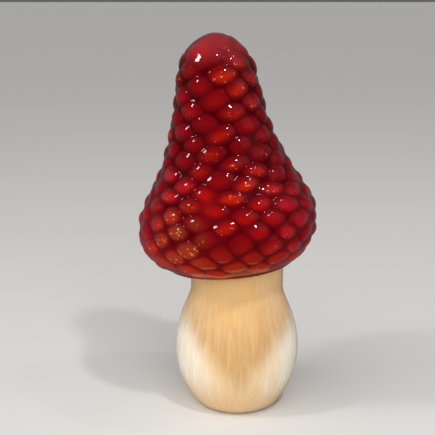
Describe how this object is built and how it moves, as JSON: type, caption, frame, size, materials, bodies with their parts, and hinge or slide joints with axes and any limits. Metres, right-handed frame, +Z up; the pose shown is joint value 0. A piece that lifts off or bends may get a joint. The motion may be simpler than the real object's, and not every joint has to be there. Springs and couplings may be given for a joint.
{
  "type": "ceramic mushroom ornament",
  "caption": "Free-standing glazed ceramic mushroom ornament: a tall bell-shaped red cap covered in oval pellets set in slanting spiral rows, bonded on a pear-shaped cream stem.",
  "frame": {"origin": "centre of the flat foot, on the surface the ornament stands on", "axes": "+Z up along the stem's axis, -Y towards the viewer of the picture, the cap leans to -X"},
  "size_m": [0.0863, 0.0864, 0.1803],
  "materials": {
    "stem_glaze": "cream glaze with tan streaks, satin gloss",
    "bond": "set adhesive, dull",
    "cap_glaze": "deep crimson glaze, high gloss",
    "pellet_glaze": "bright red glaze, high gloss"
  },
  "bodies": {
    "root": {"stem_body": "stem_glaze", "bond_ring": "bond", "cap_soffit": "cap_glaze", "cap_shell": "cap_glaze", "rim_coil": "cap_glaze", "crown": "cap_glaze", "pellet_row_01": "pellet_glaze", "pellet_row_02": "pellet_glaze", "pellet_row_03": "pellet_glaze", "pellet_row_04": "pellet_glaze", "pellet_row_05": "pellet_glaze", "pellet_row_06": "pellet_glaze", "pellet_row_07": "pellet_glaze", "pellet_row_08": "pellet_glaze", "pellet_row_09": "pellet_glaze", "pellet_row_10": "pellet_glaze", "pellet_row_11": "pellet_glaze", "pellet_row_12": "pellet_glaze"}
  },
  "joints": []
}
